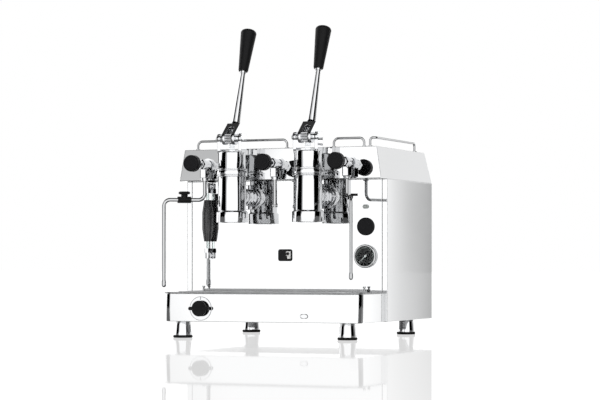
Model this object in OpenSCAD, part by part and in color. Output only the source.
// Two-group spring-lever espresso machine.
// Millimetres. X runs left to right, Y front to back, Z up from the counter.
// The origin is at the centre of the footprint, on the counter.

/* [Case] */
// Width over the side panels
case_w = 600; // [500:10:720]
// Depth from the splash panel to the back panel
case_d = 376; // [320:2:450]
// Height of the underside above the counter
base_z = 45; // [38:1:60]
// Height of the drip tray front
tray_h = 80; // [68:1:100]
// Depth of the drip tray in front of the splash panel
tray_d = 186; // [170:1:220]
// Height of the splash panel between tray and hood
splash_h = 308; // [280:1:370]
// Height of the hood
hood_h = 87; // [73:1:104]
// How far the hood stands out in front of the splash panel
hood_over = 50; // [42:1:56]
// How far each side of the hood leans in at the top
hood_lean = 14; // [8:1:20]
// How far the back of the hood leans in at the top
hood_back_lean = 26; // [16:1:34]
// How far the front of the hood leans in at the top
hood_front_lean = 4; // [2:0.5:8]
// Thickness of the sheet metal
sheet = 2; // [1.5:0.1:3]
// Width of the side panels' front flanges
flange_w = 15; // [12:1:20]

/* [Drip tray] */
// How far the tray is narrower than the case on each side
tray_inset = 9; // [6:1:14]
// Radius of the tray's upright front corners
tray_corner = 28; // [20:1:32]
// Share of the case width taken by the grate
grate_share = 0.82; // [0.7:0.01:0.85]
// Clearance around the lift-off grate
grate_gap = 0.8; // [0.5:0.1:1.5]

/* [Groups] */
// Distance of the group axes from the splash panel
group_reach = 110; // [104:1:125]
// Outer radius of the bell that takes the filter holder
bell_r = 43; // [41:0.5:46]
// Outer radius of the group barrel
barrel_r = 38.5; // [36:0.5:40]
// Bore radius of the barrel and spring housing
chamber_r = 30; // [28:0.5:31]
// Radius of the socket that takes the filter holder
socket_r = 35.5; // [34:0.5:36.5]
// Depth of that socket
socket_depth = 14; // [12:1:16]
// Running clearance of shafts, pistons and stems, on the radius
run_gap = 0.05; // [0.02:0.01:0.09]

/* [Levers] */
// Backward lean of the lever fork at rest
fork_lean = 43; // [30:1:48]
// Backward lean of the lever rod at rest
rod_lean = 19; // [15:0.5:26]
// Length of the fork from the pivot
fork_len = 55; // [50:1:62]
// Length of the lever rod beyond the fork
rod_len = 160; // [130:5:190]
// Length of the hand grip
grip_len = 123; // [105:1:150]
// Largest radius of the hand grip
grip_r = 22; // [18:0.5:25]
// Width of the lever fork
fork_w = 38; // [36:1:42]
// Module of the pinion and rack teeth
tooth_m = 2; // [1.8:0.1:2.2]
// Number of pinion teeth
pinion_teeth = 12; // [11:1:13]
// Travel of the lever in degrees
lever_travel = 110; // [80:5:110]

/* [Valves and wands] */
// Radius of the valve knobs
knob_r = 22.75; // [19:0.25:26]
// Thickness of the valve knobs
knob_t = 21; // [18:1:25]
// Tube radius of the left steam wand
left_wand_r = 5.5; // [4.6:0.1:6.2]
// Tube radius of the right steam wand
right_wand_r = 4.25; // [3.6:0.05:5]
// Length of the wand arms, from swivel to drop tube
wand_arm = 116; // [97:1:124]
// Bend radius of the wands
wand_bend = 18; // [14:1:22]

/* [Controls] */
// Radius of the pressure gauge
gauge_r = 32; // [27:1:36]
// Radius of the round panel knob
panel_knob_r = 24.5; // [20:0.5:29]
// Radius of the rotary switch knob
switch_r = 21.5; // [18:0.5:25]
// Length of the rotary switch's pointer bar
pointer_len = 60; // [52:1:68]

/* [Feet and rails] */
// Radius of a foot at its top
foot_r = 20.5; // [17:0.5:24]
// Rod radius of the cup rails
rail_r = 3.3; // [2.8:0.1:4]
// Height of the cup rails above the hood
rail_h = 24; // [20:1:32]

/* [Hidden] */
$fn = 64;
eps = 0.01;

// Heights
tray_z = base_z + tray_h;
hood_z = tray_z + splash_h;
top_z = hood_z + hood_h;

// Depths: the panel plane is placed so that the footprint is centred
panel_y = (tray_d - case_d) / 2 + 3;
back_y = panel_y + case_d;
tray_y = panel_y - tray_d;
hood_y = panel_y - hood_over;
group_y = panel_y - group_reach;
valve_y = hood_y - 24;

// Positions across the case
half_w = case_w / 2;
group_x = case_w * 0.187;
valve_x = case_w * 0.352;
tray_half = half_w - tray_inset;
control_x = case_w * 0.3965;
sight_x = -case_w * 0.38;
foot_x = case_w * 0.403;

// Group stack, bottom to top
bell_h = 32;
bell_z = hood_z - 118;
barrel_z = bell_z + bell_h;
neck_z = hood_z - 46;
collar_z = hood_z + 8;
collar_h = 21;
cap_z = hood_z + 75;
cap_t = 8;
collar_r = barrel_r + 4;
cap_r = barrel_r - 1;
neck_r = 22;
neck_ring_r = 25;
neck_flange_r = 34;
neck_flange_side = 10;
neck_flange_t = 8;
neck_bore_r = 10;
chamber_z = bell_z + 24;

// Piston and its toothed rod
piston_z = chamber_z + 4;
piston_h = 20;
piston_rod_r = 8;
spring_wire = 2.4;
spring_r = 20;
spring_turns = 7;
spring_z0 = piston_z + piston_h + spring_wire;
spring_z1 = cap_z - cap_t - spring_wire;

// Lever pivot and pinion
pivot_z = hood_z + 111.5;
pivot_r = 5;
pitch_r = tooth_m * pinion_teeth / 2;
pressure = 25;
addendum = 0.8 * tooth_m;
dedendum = 1.05 * tooth_m;
backlash = 0.3;
rack_pitch_y = -2;
pivot_off = pitch_r - rack_pitch_y;
tooth_pitch = PI * tooth_m;
rod_top_z = pivot_z + 9;
lever_stroke = pitch_r * lever_travel * PI / 180;
ear_in = fork_w / 2 + 8;
ear_t = 9;
ear_half = 18.5;
ear_foot = 4;
ear_top = 13.5;
leg_in = piston_rod_r + 1.2;
fork_t = 18;
hub_r = 17;
arch_u = 33;
rod_root_r = 12;
rod_end_r = 7;
tang_r = 5;

// Valves
valve_z = hood_z + 44;
knob_gap = 24;
knob_neck_r = 5.5;
knob_y = valve_y - 73;
stem_r = 4;
stem_len = 44;
nut_z0 = hood_z - 2;
nut_z1 = hood_z + 31;
arm_z = hood_z - 54;
wand_top_z = nut_z1 - 5;
left_arm_turn = -141.3;
right_arm_turn = -63.7;
left_tip_z = tray_z + 12;
right_tip_z = tray_z + 35;

// Control heights
lamp_z = tray_z + splash_h * 0.757;
panel_knob_z = tray_z + splash_h * 0.581;
gauge_z = tray_z + splash_h * 0.318;
badge_z = tray_z + splash_h * 0.328;
switch_x = -case_w * 0.285;
switch_z = base_z + tray_h * 0.45;
sight_y = panel_y - 18;
sight_z0 = tray_z + splash_h * 0.325;
sight_z1 = tray_z + splash_h * 0.958;

// Drip tray levels
pan_rim_t = 3.5;
pan_rim_z = tray_z - pan_rim_t;
pan_floor_z = base_z + 34;
grate_half = case_w * grate_share / 2;
grate_y0 = tray_y + 16;
grate_y1 = panel_y - 12;
ledge = 4;
grate_z = tray_z - 2.5;

// Feet
pad_h = 7;
foot_y0 = tray_y + 36;
foot_y1 = back_y - 58;

// ---------- shared shapes ----------

// Moves its children to the left or right group axis
module at_group(side) {
    translate([side * group_x, group_y, 0]) children();
}

// Turns a +Z shape so that it points to the front
module facing_front() {
    rotate([90, 0, 0]) children();
}

// Tube of the given bore, standing on the XY plane
module pipe(r_out, r_in, h) {
    difference() {
        cylinder(r = r_out, h = h);
        translate([0, 0, -1]) cylinder(r = r_in, h = h + 2);
    }
}

// Block with rounded upright edges, centred in X and Y
module rounded_block(w, d, h, r) {
    linear_extrude(h) union() {
        square([w - 2 * r, d], center = true);
        square([w, d - 2 * r], center = true);
        for (sx = [-1, 1], sy = [-1, 1])
            translate([sx * (w / 2 - r), sy * (d / 2 - r)]) circle(r);
    }
}

// Rod bent to a U: two legs of height h and a straight top of length len along X
module rail(len, h) {
    bend = 4 * rail_r;
    for (s = [0, 1]) translate([s * len, 0, 0]) {
        cylinder(r = rail_r, h = h - bend);
        cylinder(r = 2.1 * rail_r, h = 2);
    }
    translate([bend, 0, h]) rotate([0, 90, 0]) cylinder(r = rail_r, h = len - 2 * bend);
    translate([bend, 0, h - bend]) rotate([90, 0, 0]) rotate_extrude(angle = 90, start = 90)
        translate([bend, 0]) circle(rail_r);
    translate([len - bend, 0, h - bend]) rotate([90, 0, 0]) rotate_extrude(angle = 90, start = 0)
        translate([bend, 0]) circle(rail_r);
}

// Swivelling wand: down from z_top, out along an arm at z_arm, down to z_tip
module wand(r, z_top, z_arm, z_tip, turn) {
    b = wand_bend;
    rotate([0, 0, turn]) {
        translate([0, 0, z_arm + b]) cylinder(r = r, h = z_top - z_arm - b);
        translate([b, 0, z_arm + b]) rotate([90, 0, 0])
            rotate_extrude(angle = 90, start = 180) translate([b, 0]) circle(r);
        translate([b, 0, z_arm]) rotate([0, 90, 0]) cylinder(r = r, h = wand_arm - 2 * b);
        translate([wand_arm - b, 0, z_arm - b]) rotate([90, 0, 0])
            rotate_extrude(angle = 90, start = 0) translate([b, 0]) circle(r);
        translate([wand_arm, 0, z_tip + 8]) cylinder(r = r, h = z_arm - b - z_tip - 8);
        translate([wand_arm, 0, z_tip]) wand_tip(r);
    }
}

// Slightly bulged nozzle with a rounded end
module wand_tip(r) {
    tip_r = r + 1.3;
    difference() {
        union() {
            translate([0, 0, tip_r]) sphere(tip_r);
            translate([0, 0, tip_r]) cylinder(r = tip_r, h = 10);
            translate([0, 0, tip_r + 10]) cylinder(r1 = tip_r, r2 = r, h = 4);
        }
        translate([0, 0, -1]) cylinder(r = 1, h = 12);
    }
}

// ---------- case ----------

module chassis() {
    post = 20;
    inner = half_w - sheet;
    color("silver") {
        translate([-inner, panel_y + sheet, base_z])
            cube([2 * inner, case_d - 2 * sheet, sheet]);
        for (sx = [-1, 1], sy = [0, 1])
            translate([sx * (inner - post / 2) - post / 2,
                       sy == 0 ? panel_y + sheet : back_y - sheet - post, base_z + sheet])
                difference() {
                    cube([post, post, hood_z - base_z - sheet]);
                    translate([sheet, sheet, -1])
                        cube([post - 2 * sheet, post - 2 * sheet, hood_z]);
                }
    }
}

module side_panel(side) {
    color("gainsboro") {
        translate([side > 0 ? half_w - sheet : -half_w, panel_y, base_z])
            cube([sheet, case_d, hood_z - base_z]);
        translate([side > 0 ? half_w - flange_w : -half_w, panel_y, base_z])
            cube([flange_w, sheet, hood_z - base_z]);
    }
}

module splash_panel() {
    w = half_w - flange_w;
    color("white") difference() {
        translate([-w, panel_y, base_z]) cube([2 * w, sheet, hood_z - base_z]);
        for (s = [-1, 1])
            translate([s * group_x, panel_y - 1, neck_z]) rotate([-90, 0, 0])
                cylinder(r = neck_bore_r, h = sheet + 2);
        translate([control_x, panel_y - 1, panel_knob_z]) rotate([-90, 0, 0])
            cylinder(r = stem_r + run_gap, h = sheet + 2);
    }
}

module back_panel() {
    slot_w = 60;
    color("gainsboro") difference() {
        translate([-half_w + sheet, back_y - sheet, base_z])
            cube([case_w - 2 * sheet, sheet, hood_z - base_z]);
        for (col = [-2:2], row = [0:5])
            translate([col * case_w * 0.16 - slot_w / 2, back_y - sheet - 1, hood_z - 40 - row * 14])
                cube([slot_w, sheet + 2, 5]);
    }
}

// Solid hood shape, shrunk by t on every outer face
module hood_block(t) {
    intersection() {
        translate([0, back_y + 1, 0]) rotate([90, 0, 0]) linear_extrude(case_d + hood_over + 2)
            polygon([
                [-half_w + t, hood_z], [half_w - t, hood_z],
                [half_w - hood_lean - t, top_z - t], [-half_w + hood_lean + t, top_z - t]
            ]);
        translate([-half_w - 1, 0, 0]) rotate([90, 0, 90]) linear_extrude(case_w + 2)
            polygon([
                [hood_y + t, hood_z], [back_y - t, hood_z],
                [back_y - hood_back_lean - t, top_z - t], [hood_y + hood_front_lean + t, top_z - t]
            ]);
    }
}

deck_rim = 22;
deck_half = half_w - hood_lean - deck_rim;
deck_y0 = hood_y + 34;
deck_y1 = back_y - hood_back_lean - deck_rim;

module hood() {
    color("gainsboro") difference() {
        hood_block(0);
        difference() {
            hood_block(sheet);
            translate([-half_w, hood_y, hood_z - 1]) cube([case_w, hood_over, sheet + 1]);
        }
        translate([-deck_half, deck_y0, top_z - sheet - 1])
            cube([2 * deck_half, deck_y1 - deck_y0, sheet + 2]);
    }
}

module cup_deck() {
    lip = 8;
    cols = 22;
    pitch_x = 2 * (deck_half - 14) / cols;
    color("silver") difference() {
        translate([-deck_half - lip, deck_y0 - lip, top_z - sheet - 1.5])
            cube([2 * (deck_half + lip), deck_y1 - deck_y0 + 2 * lip, 1.5]);
        for (col = [0:cols], row = [0:2])
            translate([-deck_half + 14 + col * pitch_x - 3,
                       deck_y0 + 14 + row * (deck_y1 - deck_y0 - 20) / 3, top_z - sheet - 2])
                cube([6, (deck_y1 - deck_y0 - 20) / 3 - 12, 3]);
    }
}

// Outline of the tray front: square at the back, rounded at the two front corners
module tray_outline(inset) {
    r = tray_corner - inset;
    w = tray_half - inset;
    y0 = tray_y + inset;
    difference() {
        union() {
            translate([-w, y0 + r]) square([2 * w, panel_y - y0 - r]);
            translate([-w + r, y0]) square([2 * w - 2 * r, r + 1]);
            for (s = [-1, 1]) translate([s * (w - r), y0 + r]) circle(r);
        }
        translate([-w - 1, panel_y]) square([2 * w + 2, 5]);
    }
}

module tray_housing() {
    color("white") difference() {
        translate([0, 0, base_z]) linear_extrude(pan_rim_z - base_z) tray_outline(0);
        translate([0, 0, base_z + sheet]) linear_extrude(tray_h) tray_outline(sheet);
        translate([switch_x, tray_y - 1, switch_z]) rotate([-90, 0, 0])
            cylinder(r = stem_r + run_gap, h = sheet + 2);
    }
}

module drip_pan() {
    well_half = grate_half - ledge;
    wy0 = grate_y0 + ledge;
    wy1 = grate_y1 - ledge;
    color("dimgray") difference() {
        union() {
            translate([0, 0, pan_rim_z]) linear_extrude(pan_rim_t) tray_outline(0.5);
            translate([-well_half - sheet, wy0 - sheet, pan_floor_z])
                cube([2 * (well_half + sheet), wy1 - wy0 + 2 * sheet, pan_rim_z - pan_floor_z + eps]);
        }
        translate([-well_half, wy0, pan_floor_z + sheet]) cube([2 * well_half, wy1 - wy0, tray_h]);
        translate([-grate_half, grate_y0, grate_z]) cube([2 * grate_half, grate_y1 - grate_y0, tray_h]);
    }
}

module drip_grate() {
    g = grate_gap;
    w = 2 * (grate_half - g);
    d = grate_y1 - grate_y0 - 2 * g;
    rim = 8;
    cols = 36;
    pitch_x = (w - 2 * rim) / cols;
    rows = 3;
    pitch_y = (d - 2 * rim) / rows;
    color("silver") {
        translate([-w / 2, grate_y0 + g, grate_z]) difference() {
            cube([w, d, 5]);
            for (col = [0:cols - 1], row = [0:rows - 1])
                translate([rim + col * pitch_x + 1.5, rim + row * pitch_y + 2, -1])
                    cube([pitch_x - 3, pitch_y - 4, 7]);
        }
        translate([-w / 2, grate_y1 - g - sheet, grate_z + 5 - eps]) cube([w, sheet, 5]);
        for (s = [-1, 1]) translate([s * (w / 2 - 5), grate_y1 - g - 5, grate_z + 5 - eps]) {
            cylinder(r = 2.4, h = 9);
            translate([0, 0, 9]) cylinder(r = 4, h = 4);
        }
    }
}

module feet() {
    color("gainsboro") for (sx = [-1, 1], y = [foot_y0, foot_y1])
        translate([sx * foot_x, y, pad_h]) cylinder(r1 = foot_r * 1.2, r2 = foot_r, h = base_z - pad_h);
}

module foot_pads() {
    color("black") for (sx = [-1, 1], y = [foot_y0, foot_y1])
        translate([sx * foot_x, y, 0]) {
            cylinder(r1 = foot_r * 1.24, r2 = foot_r * 1.32, h = pad_h / 2);
            translate([0, 0, pad_h / 2]) cylinder(r1 = foot_r * 1.32, r2 = foot_r * 1.24, h = pad_h / 2);
        }
}

module cup_rail_front_left() {
    color("silver") translate([-case_w * 0.42, hood_y + 20, top_z]) rail(case_w * 0.45, rail_h);
}

module cup_rail_front_right() {
    color("silver") translate([case_w * 0.26, hood_y + 20, top_z]) rail(case_w * 0.147, rail_h);
}

// Rail that turns one corner: from its front foot over to the right, then straight back
module cup_rail_side() {
    b = 2.5 * rail_r;
    x1 = half_w - hood_lean - 8;
    x0 = x1 - 2 * b;
    y0 = hood_y + 20;
    y1 = y0 + case_d * 0.84;
    color("silver") translate([0, 0, top_z]) {
        for (p = [[x0, y0], [x1, y1]]) translate(p) {
            cylinder(r = rail_r, h = rail_h - b);
            cylinder(r = 2.1 * rail_r, h = 2);
        }
        translate([x0 + b, y0, rail_h - b]) rotate([90, 0, 0]) rotate_extrude(angle = 90, start = 90)
            translate([b, 0]) circle(rail_r);
        translate([x0 + b, y0 + b, rail_h]) rotate_extrude(angle = 90, start = -90)
            translate([b, 0]) circle(rail_r);
        translate([x1, y0 + b, rail_h]) rotate([-90, 0, 0]) cylinder(r = rail_r, h = y1 - y0 - 2 * b);
        translate([x1, y1 - b, rail_h - b]) rotate([90, 0, 90]) rotate_extrude(angle = 90, start = 0)
            translate([b, 0]) circle(rail_r);
    }
}

boiler_r = 78;
boiler_y = panel_y + case_d * 0.52;
boiler_z = base_z + 190;
boiler_half = case_w * 0.36;

module boiler() {
    end_r = boiler_r + 12;
    wall = 3;
    color("peru") translate([0, boiler_y, boiler_z]) difference() {
        union() {
            rotate([0, 90, 0]) cylinder(r = boiler_r, h = 2 * boiler_half, center = true);
            for (s = [-1, 1]) translate([s * (boiler_half + 4), 0, 0]) rotate([0, 90, 0])
                cylinder(r = end_r, h = 8, center = true);
            cylinder(r = 9, h = boiler_r + 14);
        }
        rotate([0, 90, 0]) cylinder(r = boiler_r - wall, h = 2 * boiler_half, center = true);
        cylinder(r = 5, h = boiler_r + 20);
    }
}

module boiler_mounts() {
    w = 24;
    d = 120;
    color("gray") for (s = [-1, 1]) translate([s * boiler_half * 0.7 - w / 2, boiler_y, 0]) difference() {
        translate([0, -d / 2, base_z + sheet]) cube([w, d, boiler_z - base_z - boiler_r / 2]);
        translate([-1, 0, boiler_z]) rotate([0, 90, 0]) cylinder(r = boiler_r, h = w + 2);
    }
}

// ---------- groups ----------

// Neck between barrel and splash panel, along +Z, with two rings and an oval flange
module group_neck() {
    bolt_r = 4.5;
    bolt_t = 4;
    ring_t = 12;
    flange_z = group_reach - neck_flange_t;
    cylinder(r = neck_r, h = group_reach);
    for (z = [barrel_r + 6, barrel_r + 28]) translate([0, 0, z]) cylinder(r = neck_ring_r, h = ring_t);
    translate([0, 0, flange_z]) linear_extrude(neck_flange_t) union() {
        square([2 * neck_flange_side, 2 * neck_flange_r], center = true);
        for (s = [-1, 1]) translate([s * neck_flange_side, 0]) circle(neck_flange_r);
    }
    for (s = [-1, 1]) translate([s * (neck_flange_r + 1), 0, flange_z - bolt_t])
        cylinder(r = bolt_r, h = bolt_t + 1, $fn = 6);
}

module group_body(side) {
    passage_r = 3;
    lug_a = 75;
    lug_span = 30;
    lug_t = 2;
    lug_wall = 2;
    color("silver") at_group(side) difference() {
        union() {
            translate([0, 0, bell_z]) cylinder(r = bell_r, h = bell_h - 4);
            translate([0, 0, barrel_z - 4]) cylinder(r1 = bell_r, r2 = barrel_r, h = 4);
            translate([0, 0, barrel_z]) cylinder(r = barrel_r, h = collar_z - barrel_z);
            translate([0, 0, neck_z]) rotate([-90, 0, 0]) group_neck();
        }
        translate([0, 0, bell_z - 1]) cylinder(r = socket_r, h = socket_depth + 1);
        for (a = [lug_a, lug_a + 180]) rotate([0, 0, a]) translate([0, 0, bell_z - 1])
            rotate_extrude(angle = lug_span) translate([socket_r - 1, 0])
                square([bell_r - lug_wall - socket_r + 1, socket_depth - lug_t]);
        translate([0, 0, bell_z + socket_depth - 1]) cylinder(r = passage_r, h = chamber_z - bell_z);
        translate([0, 0, chamber_z]) cylinder(r = chamber_r, h = collar_z - chamber_z + 1);
        translate([0, chamber_r - 5, neck_z]) rotate([-90, 0, 0])
            cylinder(r = neck_bore_r, h = group_reach);
    }
}

// Upright ear of the lever bearing, standing on the cap; its outline is in Y and Z
module ear(x) {
    r = 6;
    boss = 9;
    shoulder_z = pivot_z + ear_top - r;
    taper_z = cap_z + 3;
    foot_z = cap_z - 22;
    translate([x, 0, 0]) rotate([90, 0, 90]) linear_extrude(ear_t) union() {
        polygon([
            [-ear_half, shoulder_z], [-ear_half, taper_z], [-ear_foot, foot_z],
            [ear_foot, foot_z], [ear_half, taper_z], [ear_half, shoulder_z]
        ]);
        for (s = [-1, 1]) translate([s * (ear_half - r), shoulder_z]) circle(r);
        translate([r - ear_half, shoulder_z - 1]) square([2 * (ear_half - r), r + 1]);
        translate([-pivot_off, pivot_z]) circle(boss);
    }
}

module spring_housing(side) {
    groove = 1.2;
    color("silver") at_group(side) difference() {
        union() {
            translate([0, 0, collar_z]) cylinder(r = collar_r, h = collar_h);
            translate([0, 0, collar_z + collar_h]) cylinder(r = cap_r, h = cap_z - collar_z - collar_h - 2);
            translate([0, 0, cap_z - 2]) cylinder(r1 = cap_r, r2 = cap_r - 2, h = 2);
            ear(ear_in);
            ear(-ear_in - ear_t);
        }
        for (z = [3, collar_h - 5]) translate([0, 0, collar_z + z]) difference() {
            cylinder(r = collar_r + 1, h = 1.6);
            cylinder(r = collar_r - groove, h = 1.6);
        }
        translate([0, 0, collar_z - 1]) cylinder(r = chamber_r, h = cap_z - cap_t - collar_z + 1);
        translate([0, 0, cap_z - cap_t - 1]) cylinder(r = piston_rod_r + run_gap, h = cap_t + 2);
        translate([0, -pivot_off, pivot_z]) rotate([0, 90, 0])
            cylinder(r = pivot_r, h = 3 * fork_w, center = true);
    }
}

module piston(side) {
    color("goldenrod") at_group(side) difference() {
        translate([0, 0, piston_z]) cylinder(r = chamber_r - run_gap, h = piston_h);
        for (z = [5, 12]) translate([0, 0, piston_z + z]) difference() {
            cylinder(r = chamber_r + 1, h = 3);
            cylinder(r = chamber_r - 2.5, h = 3);
        }
    }
}

// Rod with rack teeth cut into its front face above the cap
module piston_rod(side) {
    z0 = piston_z + piston_h;
    spaces = floor((lever_stroke + 12) / tooth_pitch);
    rack_z0 = pivot_z - (spaces + 0.5) * tooth_pitch;
    slope = tan(pressure);
    half_gap = tooth_pitch / 4 + backlash / 4;
    tip_y = rack_pitch_y - addendum;
    root_y = rack_pitch_y + dedendum;
    edge = 1.5;
    wide = 2 * piston_rod_r + 4;
    color("gainsboro") at_group(side) difference() {
        union() {
            translate([0, 0, z0]) cylinder(r = piston_rod_r, h = rod_top_z - z0 - edge);
            translate([0, 0, rod_top_z - edge])
                cylinder(r1 = piston_rod_r, r2 = piston_rod_r - edge, h = edge);
        }
        translate([-wide / 2, -wide, rack_z0]) cube([wide, wide + tip_y, rod_top_z]);
        for (k = [-spaces:2]) translate([-wide / 2, 0, pivot_z + k * tooth_pitch]) rotate([90, 0, 90])
            linear_extrude(wide) polygon([
                [tip_y - 1, -half_gap - (addendum + 1) * slope], [root_y, -half_gap + dedendum * slope],
                [root_y, half_gap - dedendum * slope], [tip_y - 1, half_gap + (addendum + 1) * slope]
            ]);
    }
}

// Points of a coil spring's wire, one ring of the given sides for each step
coil_steps = 16;
coil_sides = 8;
function coil_centre(i, n, h) = [
    spring_r * cos(360 * i / coil_steps), spring_r * sin(360 * i / coil_steps), h * i / n
];
function coil_ring(i, n, h) = [
    for (s = [0:coil_sides - 1])
        let (a = 360 * i / coil_steps, b = 360 * s / coil_sides, q = spring_r + spring_wire * cos(b))
            [q * cos(a), q * sin(a), coil_centre(i, n, h)[2] + spring_wire * sin(b)]
];

module spring(side) {
    n = spring_turns * coil_steps;
    h = spring_z1 - spring_z0;
    points = [for (i = [0:n]) each coil_ring(i, n, h)];
    walls = [
        for (i = [0:n - 1], s = [0:coil_sides - 1])
            let (t = (s + 1) % coil_sides)
                each [
                    [i * coil_sides + s, i * coil_sides + t, (i + 1) * coil_sides + t],
                    [i * coil_sides + s, (i + 1) * coil_sides + t, (i + 1) * coil_sides + s]
                ]
    ];
    ends = [
        [for (s = [coil_sides - 1:-1:0]) s],
        [for (s = [0:coil_sides - 1]) n * coil_sides + s]
    ];
    color("silver") at_group(side) translate([0, 0, spring_z0])
        polyhedron(points = points, faces = concat(walls, ends));
}

module pivot_shaft(side) {
    shoulder_x = fork_w / 2 + 0.3;
    shoulder_r = 8;
    head_r = 7;
    head_t = 3.5;
    slot = 1.6;
    outer = ear_in + ear_t;
    color("gainsboro") at_group(side) translate([0, -pivot_off, pivot_z]) difference() {
        rotate([0, 90, 0]) {
            cylinder(r = pivot_r, h = 2 * outer, center = true);
            for (s = [-1, 1]) {
                translate([0, 0, s > 0 ? shoulder_x : -ear_in])
                    cylinder(r = shoulder_r, h = ear_in - shoulder_x);
                translate([0, 0, s > 0 ? outer : -outer - head_t]) cylinder(r = head_r, h = head_t);
            }
        }
        for (s = [-1, 1]) translate([s * (outer + head_t), 0, 0])
            cube([2, 2 * head_r + 2, slot], center = true);
    }
}

// Involute flank: half of a tooth's angle at radius r, in degrees
base_r = pitch_r * cos(pressure);
function involute(a) = tan(a) * 180 / PI - a;
function half_tooth(r) =
    90 / pinion_teeth - backlash / 4 / pitch_r * 180 / PI + involute(pressure)
    - involute(acos(min(1, base_r / r)));
function polar(r, a) = [r * cos(a), r * sin(a)];

module pinion_outline() {
    root_r = pitch_r - dedendum;
    tip_r = pitch_r + addendum;
    steps = 4;
    radii = [for (i = [0:steps]) base_r + (tip_r - base_r) * i / steps];
    polygon([
        for (k = [0:pinion_teeth - 1])
            let (c = 360 * k / pinion_teeth)
                each concat(
                    [polar(root_r, c - half_tooth(base_r))],
                    [for (r = radii) polar(r, c - half_tooth(r))],
                    [for (i = [steps:-1:0]) polar(radii[i], c + half_tooth(radii[i]))],
                    [polar(root_r, c + half_tooth(base_r))]
                )
    ]);
}

// Moves its children to the lever's pivot
module at_pivot(side) {
    at_group(side) translate([0, -pivot_off, pivot_z]) children();
}

// Moves its children to where the lever rod leaves the fork, +Z along the rod
module at_rod(side) {
    at_pivot(side) rotate([-fork_lean, 0, 0]) translate([0, 0, fork_len])
        rotate([fork_lean - rod_lean, 0, 0]) children();
}

module lever_fork(side) {
    half = fork_w / 2;
    chamfer = 2;
    bore = pivot_r + run_gap;
    through = 2 * fork_w;
    color("dimgray") at_pivot(side) difference() {
        rotate([-fork_lean, 0, 0]) intersection() {
            rotate([90, 0, 0]) linear_extrude(2 * hub_r + 4, center = true) polygon([
                [-half, -hub_r], [half, -hub_r], [half, fork_len - chamfer],
                [half - chamfer, fork_len], [-half + chamfer, fork_len], [-half, fork_len - chamfer]
            ]);
            rotate([90, 0, 90]) linear_extrude(2 * half + 2, center = true) union() {
                circle(hub_r);
                polygon([
                    [-hub_r, 0], [hub_r, 0], [fork_t / 2 + 3, fork_len], [-fork_t / 2 - 2, fork_len - 6]
                ]);
            }
        }
        rotate([-fork_lean, 0, 0]) translate([0, 0, arch_u - leg_in]) {
            rotate([90, 0, 0]) cylinder(r = leg_in, h = through, center = true);
            translate([-leg_in, -through / 2, -through]) cube([2 * leg_in, through, through]);
        }
        rotate([0, 90, 0]) cylinder(r = bore, h = through, center = true);
    }
    color("dimgray") at_pivot(side) rotate([90, 0, 90]) difference() {
        linear_extrude(2 * leg_in, center = true) pinion_outline();
        cylinder(r = bore, h = through, center = true);
    }
}

module lever_rod(side) {
    ferrule = 6;
    color("silver") at_rod(side) difference() {
        union() {
            cylinder(r1 = rod_root_r, r2 = rod_end_r, h = rod_len - ferrule);
            translate([0, 0, rod_len - ferrule]) cylinder(r = rod_end_r + 1.5, h = ferrule);
            translate([0, 0, rod_len]) cylinder(r = tang_r, h = grip_len * 0.7);
        }
        rotate([rod_lean - fork_lean, 0, 0]) translate([0, 0, -fork_w / 2])
            cube([fork_w, fork_w, fork_w], center = true);
    }
}

// Tapered hand grip with a domed end
module lever_grip(side) {
    r0 = grip_r * 0.62;
    dome = 9;
    color("black") at_rod(side) translate([0, 0, rod_len]) difference() {
        union() {
            cylinder(r1 = r0 - 1, r2 = r0, h = 3);
            translate([0, 0, 3]) cylinder(r1 = r0, r2 = grip_r, h = grip_len - dome - 3);
            translate([0, 0, grip_len - dome]) rotate_extrude() intersection() {
                square([grip_r, dome]);
                union() {
                    square([grip_r - dome, dome]);
                    translate([grip_r - dome, 0]) circle(dome);
                }
            }
        }
        translate([0, 0, -1]) cylinder(r = tang_r, h = grip_len * 0.7 + 1);
    }
}

// ---------- valves and wands ----------

module valve(x) {
    flange_r = 18;
    boss_r = 13;
    nose_y = knob_y + knob_gap;
    front = hood_y - 52;
    color("silver") difference() {
        union() {
            translate([x, hood_y + hood_front_lean, valve_z]) facing_front()
                cylinder(r = flange_r, h = 4 + hood_front_lean);
            translate([x, hood_y - 4, valve_z]) facing_front() cylinder(r = boss_r - 2, h = 6);
            translate([x, hood_y - 10, valve_z]) facing_front() cylinder(r = boss_r, h = 28);
            translate([x, front + 14, valve_z]) facing_front() cylinder(r = boss_r + 2, h = 14, $fn = 6);
            translate([x, front, valve_z]) facing_front() cylinder(r = boss_r - 3, h = front - nose_y);
            translate([x, valve_y, nut_z1]) cylinder(r = 9, h = valve_z - nut_z1);
        }
        hood_block(0);
        translate([x, nose_y - 1, valve_z]) rotate([-90, 0, 0])
            cylinder(r = stem_r + run_gap, h = stem_len - knob_gap + 1);
        translate([x, valve_y, nut_z1 - 1]) cylinder(r = 3, h = valve_z - nut_z1);
    }
}

// Round knob with a rounded front edge, on its stem
module valve_knob(x) {
    round = 5;
    color("black") translate([x, knob_y, valve_z]) facing_front() {
        rotate_extrude() union() {
            square([knob_r - round, knob_t]);
            square([knob_r, knob_t - round]);
            translate([knob_r - round, knob_t - round]) circle(round);
        }
        translate([0, 0, -knob_gap + 1]) cylinder(r = knob_neck_r, h = knob_gap - 1);
        translate([0, 0, -stem_len]) cylinder(r = stem_r, h = stem_len);
    }
}

module union_nut(x, tube_r) {
    color("silver") translate([x, valve_y, nut_z0]) difference() {
        union() {
            translate([0, 0, 9]) cylinder(r = 14, h = nut_z1 - nut_z0 - 9, $fn = 6);
            cylinder(r1 = tube_r + 3.5, r2 = 11.5, h = 9);
        }
        translate([0, 0, -1]) cylinder(r = tube_r + run_gap, h = nut_z1 - nut_z0 + 2);
    }
}

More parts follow.
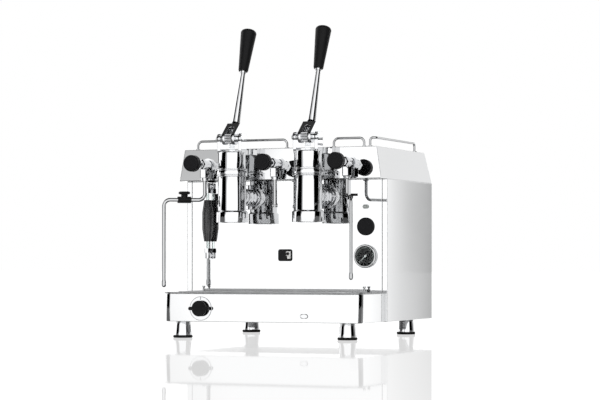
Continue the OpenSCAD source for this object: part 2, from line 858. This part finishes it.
spout_r = 6;

module union_nuts() {
    union_nut(-valve_x, left_wand_r);
    union_nut(0, spout_r - run_gap);
    union_nut(valve_x, right_wand_r);
}

module steam_wand_left() {
    color("silver") translate([-valve_x, valve_y, 0])
        wand(left_wand_r, wand_top_z, arm_z, left_tip_z, left_arm_turn);
}

module steam_wand_right() {
    color("silver") translate([valve_x, valve_y, 0])
        wand(right_wand_r, wand_top_z, arm_z, right_tip_z, right_arm_turn);
}

module water_spout() {
    color("silver") translate([0, valve_y, arm_z - 22]) {
        pipe(spout_r, spout_r - 1.5, wand_top_z - arm_z + 22);
        pipe(spout_r + 1.5, spout_r - 1.5, 10);
    }
}

// Sleeve on the left wand's arm with a mushroom knob standing on it
module wand_grip() {
    sleeve = 37;
    cap_h = 8;
    color("black") translate([-valve_x, valve_y, arm_z]) rotate([0, 0, left_arm_turn])
        translate([wand_arm / 2, 0, 0]) difference() {
            union() {
                rotate([0, 90, 0]) cylinder(r = left_wand_r + 3.5, h = sleeve, center = true);
                cylinder(r = 9, h = 16);
                translate([0, 0, 15]) rotate_extrude() union() {
                    square([12, cap_h]);
                    translate([12, cap_h / 2]) circle(cap_h / 2);
                }
            }
            translate([-sleeve, 0, 0]) rotate([0, 90, 0]) cylinder(r = left_wand_r, h = 2 * sleeve);
        }
}

// ---------- sight glass ----------

glass_r = 4;
guard_h = 116;
guard_z = (sight_z0 + sight_z1) / 2 - guard_h / 2;

module sight_fittings() {
    block_r = 8;
    nut_h = 12;
    for (end = [0, 1]) translate([sight_x, sight_y, end == 0 ? sight_z0 : sight_z1]) color("silver")
        mirror([0, 0, end]) difference() {
            union() {
                translate([0, panel_y - sight_y, 0]) facing_front() cylinder(r = 11, h = 3);
                translate([0, panel_y - sight_y, 0]) facing_front() cylinder(r = 6, h = panel_y - sight_y);
                translate([0, 0, -block_r]) cylinder(r = block_r, h = 2 * block_r);
                translate([0, 0, block_r]) cylinder(r = block_r + 1.5, h = nut_h, $fn = 6);
            }
            cylinder(r = glass_r, h = block_r + nut_h + 1);
        }
}

module sight_tube() {
    color("lightblue", 0.5) translate([sight_x, sight_y, sight_z0])
        pipe(glass_r, glass_r - 1.2, sight_z1 - sight_z0);
}

// Barrel-shaped guard around the glass
module sight_guard() {
    mid = 15;
    end = 10;
    color("dimgray") translate([sight_x, sight_y, guard_z]) difference() {
        union() {
            cylinder(r1 = end, r2 = mid, h = guard_h * 0.3);
            translate([0, 0, guard_h * 0.3]) cylinder(r = mid, h = guard_h * 0.4);
            translate([0, 0, guard_h * 0.7]) cylinder(r1 = mid, r2 = end, h = guard_h * 0.3);
        }
        translate([0, 0, -1]) cylinder(r = glass_r, h = guard_h + 2);
    }
}

// ---------- controls ----------

module indicator_lamp() {
    color("darkgreen") translate([control_x, panel_y, lamp_z]) facing_front() {
        rounded_block(18, 12, 2, 5.9);
        translate([0, 0, 2]) cylinder(r1 = 4, r2 = 3, h = 2);
    }
}

module panel_knob() {
    round = 2.5;
    t = 5;
    color("black") translate([control_x, panel_y - 1, panel_knob_z]) facing_front() {
        rotate_extrude() union() {
            square([panel_knob_r - round, t]);
            square([panel_knob_r, t - round]);
            translate([panel_knob_r - round, t - round]) circle(round);
        }
        translate([0, 0, -12]) cylinder(r = stem_r, h = 12);
    }
}

gauge_depth = 10;
dial_z = 5;

module gauge_case() {
    color("silver") translate([control_x, panel_y, gauge_z]) facing_front() difference() {
        union() {
            cylinder(r = gauge_r, h = gauge_depth - 2);
            translate([0, 0, gauge_depth - 2]) cylinder(r1 = gauge_r, r2 = gauge_r - 2, h = 2);
        }
        translate([0, 0, dial_z - 1.5]) cylinder(r = gauge_r - 4, h = gauge_depth);
    }
}

module gauge_dial() {
    color("black") translate([control_x, panel_y - dial_z + 1.5, gauge_z]) facing_front() difference() {
        cylinder(r = gauge_r - 4, h = 1.5);
        translate([0, 0, -1]) cylinder(r = 1 + run_gap, h = 4);
    }
}

module gauge_needle() {
    reach = gauge_r * 0.62;
    color("white") translate([control_x, panel_y - dial_z, gauge_z]) facing_front() {
        translate([0, 0, -1.5]) cylinder(r = 1, h = 3);
        translate([0, 0, 0.6]) cylinder(r = 3, h = 1.4);
        rotate([0, 0, 225]) translate([0, 0, 0.6]) linear_extrude(0.8)
            polygon([[-6, -1.2], [-6, 1.2], [reach, 0.4], [reach, -0.4]]);
    }
}

module gauge_lens() {
    color("white", 0.3) translate([control_x, panel_y - gauge_depth + 2.5, gauge_z]) facing_front()
        cylinder(r = gauge_r - 4, h = 1.5);
}

module badges() {
    color("black") translate([0, panel_y, badge_z]) facing_front() rounded_block(42, 33, 1.5, 6);
    color("gray") translate([case_w * 0.22, tray_y, base_z + tray_h * 0.22]) facing_front()
        rounded_block(22, 12, 1.2, 5.9);
}

plate_t = 1.5;
plate_r = 32.5;

module switch_plate() {
    color("silver") translate([switch_x, tray_y, switch_z]) facing_front()
        pipe(plate_r, stem_r + run_gap, plate_t);
}

// Round switch knob on a narrower hub, with a horizontal pointer bar
module switch_knob() {
    hub_t = 5;
    disc_t = 8;
    edge = 1.5;
    color("black") translate([switch_x, tray_y - plate_t - 0.5, switch_z]) facing_front() {
        cylinder(r = switch_r * 0.7, h = hub_t);
        translate([0, 0, hub_t]) cylinder(r = switch_r, h = disc_t - edge);
        translate([0, 0, hub_t + disc_t - edge]) cylinder(r1 = switch_r, r2 = switch_r - edge, h = edge);
        translate([0, 0, hub_t]) rounded_block(pointer_len, 9.5, disc_t + 1.5, 4.5);
        translate([0, 0, -10]) cylinder(r = stem_r, h = 10);
    }
}

// ---------- back fittings ----------

inlet_r = 8.2;
drain_r = 10;
fitting_len = 12;
fitting_z = base_z + 45;
inlet_x = -case_w * 0.2;
drain_x = -case_w * 0.1;
gland_x = case_w * 0.33;
gland_bore = 4.5;

module rear_fittings() {
    color("goldenrod") {
        translate([inlet_x, back_y, fitting_z]) rotate([-90, 0, 0]) {
            cylinder(r = 13, h = 4, $fn = 6);
            pipe(inlet_r, 5, fitting_len);
        }
        translate([drain_x, back_y, fitting_z]) rotate([-90, 0, 0]) {
            cylinder(r = 15, h = 3);
            pipe(drain_r, 7, fitting_len);
        }
    }
}

module cable_gland() {
    color("black") translate([gland_x, back_y, fitting_z]) rotate([-90, 0, 0]) difference() {
        union() {
            cylinder(r = 12, h = 5, $fn = 6);
            cylinder(r1 = 9.5, r2 = 7, h = 14);
        }
        translate([0, 0, 1]) cylinder(r = gland_bore, h = 20);
    }
}

chassis();
side_panel(-1);  // side_panel_left
side_panel(1);  // side_panel_right
splash_panel();
back_panel();
hood();
cup_deck();
tray_housing();
drip_pan();
drip_grate();
feet();
foot_pads();
cup_rail_front_left();
cup_rail_front_right();
cup_rail_side();
boiler();
boiler_mounts();
group_body(-1);  // group_body_left
group_body(1);  // group_body_right
spring_housing(-1);  // spring_housing_left
spring_housing(1);  // spring_housing_right
piston(-1);  // piston_left
piston(1);  // piston_right
piston_rod(-1);  // piston_rod_left
piston_rod(1);  // piston_rod_right
spring(-1);  // spring_left
spring(1);  // spring_right
pivot_shaft(-1);  // pivot_shaft_left
pivot_shaft(1);  // pivot_shaft_right
lever_fork(-1);  // lever_fork_left
lever_fork(1);  // lever_fork_right
lever_rod(-1);  // lever_rod_left
lever_rod(1);  // lever_rod_right
lever_grip(-1);  // lever_grip_left
lever_grip(1);  // lever_grip_right
valve(-valve_x);  // valve_left
valve(0);  // valve_middle
valve(valve_x);  // valve_right
valve_knob(-valve_x);  // valve_knob_left
valve_knob(0);  // valve_knob_middle
valve_knob(valve_x);  // valve_knob_right
union_nuts();
steam_wand_left();
steam_wand_right();
water_spout();
wand_grip();
sight_fittings();
sight_tube();
sight_guard();
indicator_lamp();
panel_knob();
gauge_case();
gauge_dial();
gauge_needle();
gauge_lens();
badges();
switch_plate();
switch_knob();
rear_fittings();
cable_gland();
